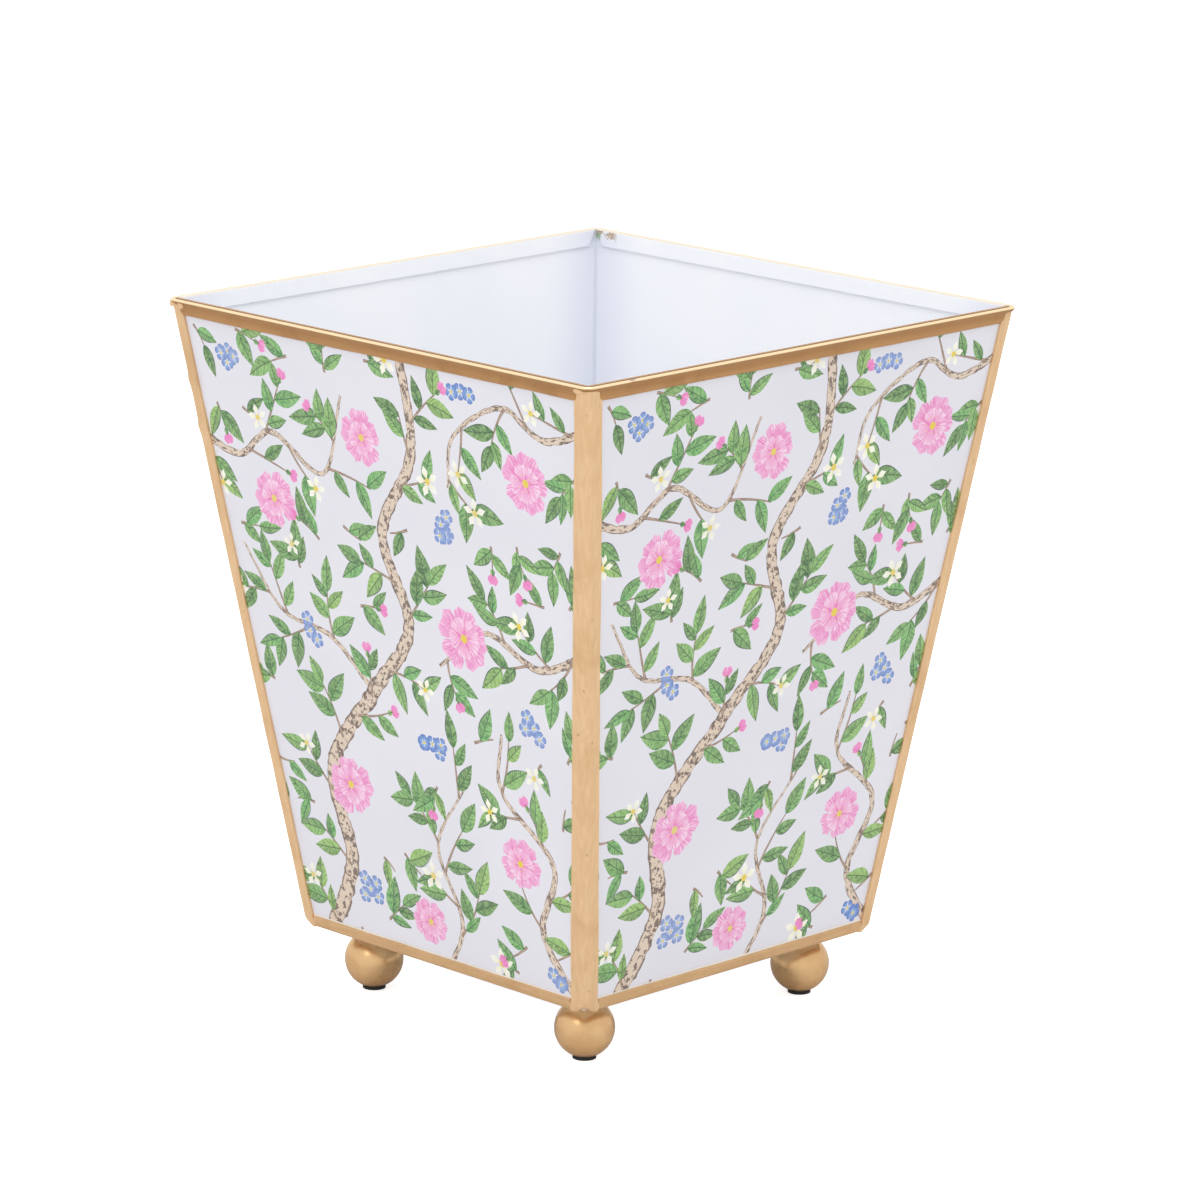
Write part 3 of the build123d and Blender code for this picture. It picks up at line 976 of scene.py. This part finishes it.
def print_mesh():
    """The printed sheet of the front wall, with its design in the net of its front face."""
    low, high = 0.9, SLANT - 1.3
    outline = [(-panel_half(low), low), (panel_half(low), low)]
    outline += [(panel_half(high), high), (-panel_half(high), high)]
    motifs = draw_design()
    flat, triangles, owners = triangulate(outline, motifs)
    used = sorted({index for triangle in triangles for index in triangle})
    number = {old: new for new, old in enumerate(used)}
    flat = [flat[old] for old in used]
    triangles = [[number[index] for index in triangle] for triangle in triangles]
    loop = rim_of(triangles)

    def placed(spot, depth):
        level = LIFT + spot[1] * math.cos(TILT)
        return Vector((spot[0], -half_width(level, depth), level)) * MM

    verts = [placed(spot, STRIP_THICKNESS) for spot in flat]
    back_start = len(verts)
    verts += [placed(flat[index], STRIP_THICKNESS + PRINT_THICKNESS * 0.95) for index in loop]
    faces = [list(triangle) for triangle in triangles]
    for step, index in enumerate(loop):
        after = (step + 1) % len(loop)
        faces.append([loop[after], index, back_start + step, back_start + after])
    faces.append([back_start + step for step in range(len(loop))][::-1])
    mesh = bpy.data.meshes.new("print")
    mesh.from_pydata(verts, [], faces)

    span = 2 * panel_half(high) + 2
    front_middle, front_share = 0.47, 0.92  # where the printed front lies across the bake square
    edge_at, edge_to = 0.955, 0.96  # the narrow column beside it for the sheet's edge
    back_at, back_share = 0.98, 0.03  # the small patch for the unseen back
    colors, marks, kinds, places = [], [], [], []
    for triangle, owner in zip(triangles, owners):
        motif = motifs[owner] if owner >= 0 else None
        kinds.append(float(motif.kind) if motif else float(GROUND))
        for index in triangle:
            colors.append((*(motif.paint(flat[index]) if motif else GROUND_TONE), 1.0))
            marks.append(motif.strokes(flat[index]) if motif else (0.0, 0.0))
            places.append((front_middle + front_share * flat[index][0] / span, flat[index][1] / (SLANT + 1)))
    for step in range(len(loop)):
        low_share, high_share = step / len(loop), (step + 1) / len(loop)
        kinds.append(float(GROUND))
        colors += [(*GROUND_TONE, 1.0)] * 4
        marks += [(0.0, 0.0)] * 4
        places += [(edge_at, high_share), (edge_at, low_share), (edge_to, low_share), (edge_to, high_share)]
    kinds.append(float(GROUND))
    for index in loop[::-1]:
        colors.append((*GROUND_TONE, 1.0))
        marks.append((0.0, 0.0))
        places.append((back_at + back_share * flat[index][0] / span, back_share * flat[index][1] / SLANT))
    mesh.uv_layers.new(name="OFBake").data.foreach_set("uv", np.array(places, np.float32).ravel())
    for name, form, domain, field, values in (
        ("paint", "FLOAT_COLOR", "CORNER", "color", colors),
        ("strokes", "FLOAT2", "CORNER", "vector", marks),
        ("kind", "FLOAT", "FACE", "value", kinds),
    ):
        layer = mesh.attributes.new(name, form, domain)
        layer.data.foreach_set(field, np.array(values, np.float32).ravel())
    print("print net:", len(motifs), "motifs,", len(faces), "faces")
    return mesh


def print_pieces(material):
    first = print_mesh()
    for turn, side in enumerate(SIDES):
        mesh = first if turn == 0 else first.copy()
        if turn:
            mesh.materials.clear()
            mesh.transform(Matrix.Rotation(math.pi / 2 * turn, 4, "Z"))
        mesh.update()
        finish_piece(mesh, f"printed_wall_{side}", material, f"print_coat_{side}")


# Camera, floor and lights


def add_camera():
    """The photograph's view, solved on the pot's corners and ball feet."""
    azimuth, elevation, roll = math.radians(45.33), math.radians(13.93), math.radians(0.507)
    distance = 1418.3
    focal_share = 4.6223  # focal length over the picture's width
    level_reach = math.cos(elevation)
    back = Vector((math.sin(azimuth) * level_reach, -math.cos(azimuth) * level_reach, math.sin(elevation)))
    right = Vector((math.cos(azimuth), math.sin(azimuth), 0.0))
    up = back.cross(right)
    target = Vector((0.0, 0.0, LIFT + WALL_HEIGHT / 2)) + right * 2.59 + up * 4.61
    place = (target + back * distance) * MM
    across = right * math.cos(roll) + up * math.sin(roll)
    upward = up * math.cos(roll) - right * math.sin(roll)
    camera = bpy.data.cameras.new("camera")
    camera.sensor_width = 36.0
    camera.lens = 36.0 * focal_share
    camera.clip_start, camera.clip_end = 0.05, 20.0
    holder = bpy.data.objects.new("camera", camera)
    holder.matrix_world = Matrix((
        (across.x, upward.x, back.x, place.x),
        (across.y, upward.y, back.y, place.y),
        (across.z, upward.z, back.z, place.z),
        (0.0, 0.0, 0.0, 1.0),
    ))
    bpy.context.scene.collection.objects.link(holder)
    bpy.context.scene.camera = holder


def add_floor():
    """A white floor that keeps the pot's faint shadow and otherwise shows as white."""
    mesh = bpy.data.meshes.new("floor")
    reach = 6.0
    corners = [(-reach, -reach, 0), (reach, -reach, 0), (reach, reach, 0), (-reach, reach, 0)]
    mesh.from_pydata(corners, [], [(0, 1, 2, 3)])
    floor = bpy.data.objects.new("floor", mesh)
    bpy.context.scene.collection.objects.link(floor)
    nodes = Nodes("floor_white")
    nodes.shade(Base_Color=linear(240, 240, 241), Roughness=0.9)
    seen = nodes.add("ShaderNodeLightPath").outputs["Is Camera Ray"]
    glow = nodes.add("ShaderNodeEmission")
    nodes.feed(glow.inputs["Strength"], nodes.math("MULTIPLY", seen, 0.72))
    both = nodes.add("ShaderNodeAddShader")
    nodes.feed(both.inputs[0], nodes.shader.outputs[0])
    nodes.feed(both.inputs[1], glow.outputs[0])
    nodes.feed(nodes.tree.nodes["Material Output"].inputs["Surface"], both.outputs[0])
    mesh.materials.append(nodes.material)


def add_world():
    """White all round for the camera and for gloss, a little dimmer as a lamp."""
    world = bpy.data.worlds.new("studio")
    world.use_nodes = True
    tree = world.node_tree
    background = tree.nodes["Background"]
    background.inputs["Color"].default_value = (1.0, 1.0, 1.0, 1.0)
    path = tree.nodes.new("ShaderNodeLightPath")
    seen = tree.nodes.new("ShaderNodeMath")
    seen.operation = "MAXIMUM"
    tree.links.new(path.outputs["Is Camera Ray"], seen.inputs[0])
    tree.links.new(path.outputs["Is Glossy Ray"], seen.inputs[1])
    strength = tree.nodes.new("ShaderNodeMapRange")
    strength.inputs["To Min"].default_value = 0.92
    strength.inputs["To Max"].default_value = 1.0
    tree.links.new(seen.outputs[0], strength.inputs["Value"])
    tree.links.new(strength.outputs[0], background.inputs["Strength"])
    bpy.context.scene.world = world


def add_lamp(name, place, size, watts):
    lamp = bpy.data.lights.new(name, "AREA")
    lamp.shape = "DISK"
    lamp.size = size
    lamp.energy = watts
    holder = bpy.data.objects.new(name, lamp)
    holder.location = place
    holder.rotation_euler = (Vector((0, 0, 0.1)) - Vector(place)).to_track_quat("-Z", "Y").to_euler()
    bpy.context.scene.collection.objects.link(holder)


def dress_cad_nodes():
    """Gives the CAD nodes that stay in view their finish."""
    # The fold's top is gilt; on the far walls it gets a pale tone instead, a painted highlight.
    gilded_top, highlight_top = (176, 132, 84), (232, 222, 208)
    gilded = white_enamel("white_enamel_gilded", gilded_top)
    plain = white_enamel("white_enamel", highlight_top)
    missed = white_enamel("white_enamel_missed", highlight_top, missed=True)
    black, steel = pad_black(), zinc()
    for name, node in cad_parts.items():
        if name == "wall_sheet_back":
            node.data.materials[0] = missed
        elif name in ("wall_sheet_front", "wall_sheet_right"):
            node.data.materials[0] = gilded
        elif name.startswith("wall_sheet") or name == "base_plate":
            node.data.materials[0] = plain
        elif name.startswith("foot_pad"):
            node.data.materials[0] = black
        elif name.startswith("foot_"):
            node.data.materials[0] = steel


def main():
    add_camera()
    add_floor()
    add_world()
    add_lamp("key", (0.3, -1.3, 0.95), 0.45, 1.3)
    add_lamp("high", (0.39, -0.38, 1.5), 0.9, 6.0)
    dress_cad_nodes()
    fine, drawn_out = 1100.0, 60.0
    runs = {"x": (drawn_out, fine, fine), "y": (fine, drawn_out, fine)}
    upright = gilt("gilt_upright", (fine, fine, drawn_out))
    # The rim strips take a darker copy of the same gilt: painted shade.
    rim_shaded_tones = (182, 136, 88), (192, 146, 96), (152, 108, 64)
    # The base strips take a darker copy of the same gilt too: painted shade.
    base_shaded_tones = (208, 168, 122), (218, 179, 133), (186, 144, 98)
    rims, bases = {}, {}
    for run, brush_scale in runs.items():
        rims[run] = gilt(f"gilt_rim_{run}", brush_scale, *rim_shaded_tones, rim=True)
        bases[run] = gilt(f"gilt_base_{run}", brush_scale, *base_shaded_tones)
    balls = ball_gilt()
    for turn, (side, corner) in enumerate(zip(SIDES, CORNERS)):
        run = "y" if turn % 2 else "x"
        corner_piece(turn, corner, upright)
        rim_piece(turn, side, rims[run])
        base_piece(turn, side, bases[run])
        ball_piece(corner, balls)
    print_pieces(printed_lacquer())
    bpy.context.scene.view_settings.view_transform = "Standard"


main()
